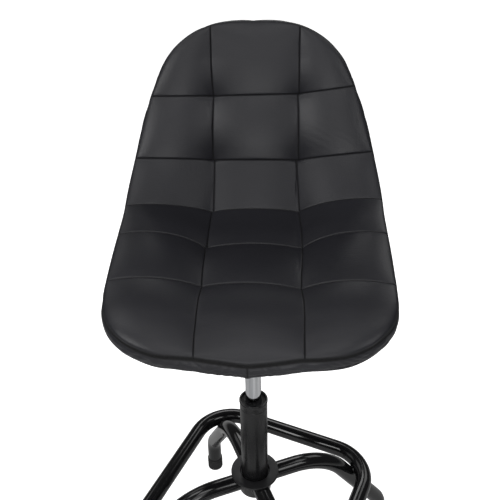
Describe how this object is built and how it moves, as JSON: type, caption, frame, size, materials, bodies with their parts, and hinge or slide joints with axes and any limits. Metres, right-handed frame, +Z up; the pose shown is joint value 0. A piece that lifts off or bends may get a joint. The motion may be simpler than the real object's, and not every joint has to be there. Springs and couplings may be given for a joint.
{
  "type": "drafting chair",
  "caption": "Raised swivel chair with a quilted bucket shell of seat and back on a gas lift, a bent-tube base and a square footrest ring.",
  "frame": {"origin": "on the floor, under the middle of the whole chair, 27.5 mm behind the axis of the column", "axes": "+Z up along the column, -Y the way the sitter faces at rest, +X to the sitter's left"},
  "size_m": [0.5722, 0.6376, 1.0773],
  "materials": {
    "gloss_black_paint": "gloss powder coat",
    "satin_black_paint": "satin powder coat",
    "bright_chrome": "ground and polished",
    "plain_steel": "zinc plated",
    "cage_brass": "pressed",
    "black_plastic": "fine matt",
    "black_rubber": "moulded",
    "shell_plywood": "pressed plywood",
    "cushion_foam": "open foam",
    "black_leather": "satin imitation leather, fine grain"
  },
  "bodies": {
    "base": {"leg_right": "gloss_black_paint", "leg_back": "gloss_black_paint", "leg_left": "gloss_black_paint", "leg_front": "gloss_black_paint", "foot_cap_right": "black_rubber", "foot_cap_back": "black_rubber", "foot_cap_left": "black_rubber", "foot_cap_front": "black_rubber", "footrest_ring": "gloss_black_paint", "hub_socket": "gloss_black_paint", "hub_flange": "satin_black_paint", "column_tube": "gloss_black_paint", "guide_bush": "black_plastic", "column_base_plate": "plain_steel", "lower_washer": "plain_steel"},
    "rod": {"upper_washer": "plain_steel", "bearing_cage": "cage_brass", "bearing_balls": "plain_steel", "piston_rod": "plain_steel", "piston_head": "plain_steel", "rubber_buffer": "black_rubber", "retaining_clip": "plain_steel"},
    "seat": {"gas_cylinder": "bright_chrome", "rod_gland": "black_plastic", "taper_socket": "satin_black_paint", "bracket_channel": "satin_black_paint", "seat_plate": "satin_black_paint", "plate_pads": "black_rubber", "lever_pin": "plain_steel", "seat_bolts": "plain_steel", "bolt_washers": "plain_steel", "tee_nuts": "plain_steel", "seat_shell": "shell_plywood", "foam_pad": "cushion_foam", "quilted_cover": "black_leather", "side_band": "black_leather", "rear_cover": "black_leather"},
    "lever": {"lever_rod": "plain_steel", "lever_grip": "black_plastic"},
    "pin": {"release_pin": "plain_steel"}
  },
  "joints": [
    {"name": "seat_swivel", "type": "hinge", "parent": "base", "child": "rod", "pos_m": [0, -0.0275, 0.27], "axis": [0, 0, 1], "continuous": true},
    {"name": "gas_lift", "type": "slide", "parent": "rod", "child": "seat", "axis": [0, 0, 1], "range_m": [-0.13, 0]},
    {"name": "lever_tilt", "type": "hinge", "parent": "seat", "child": "lever", "pos_m": [-0.022, -0.0275, 0.733], "axis": [0, 1, 0], "range_deg": [0, 6], "stiffness_Nm_per_rad": 6, "springref_deg": -5.73},
    {"name": "pin_press", "type": "slide", "parent": "seat", "child": "pin", "axis": [0, 0, -1], "range_m": [0, 0.0025]}
  ],
  "couplings": [
    {"joint": "pin_press", "follows": "lever_tilt", "m_per_rad": 0.022}
  ]
}
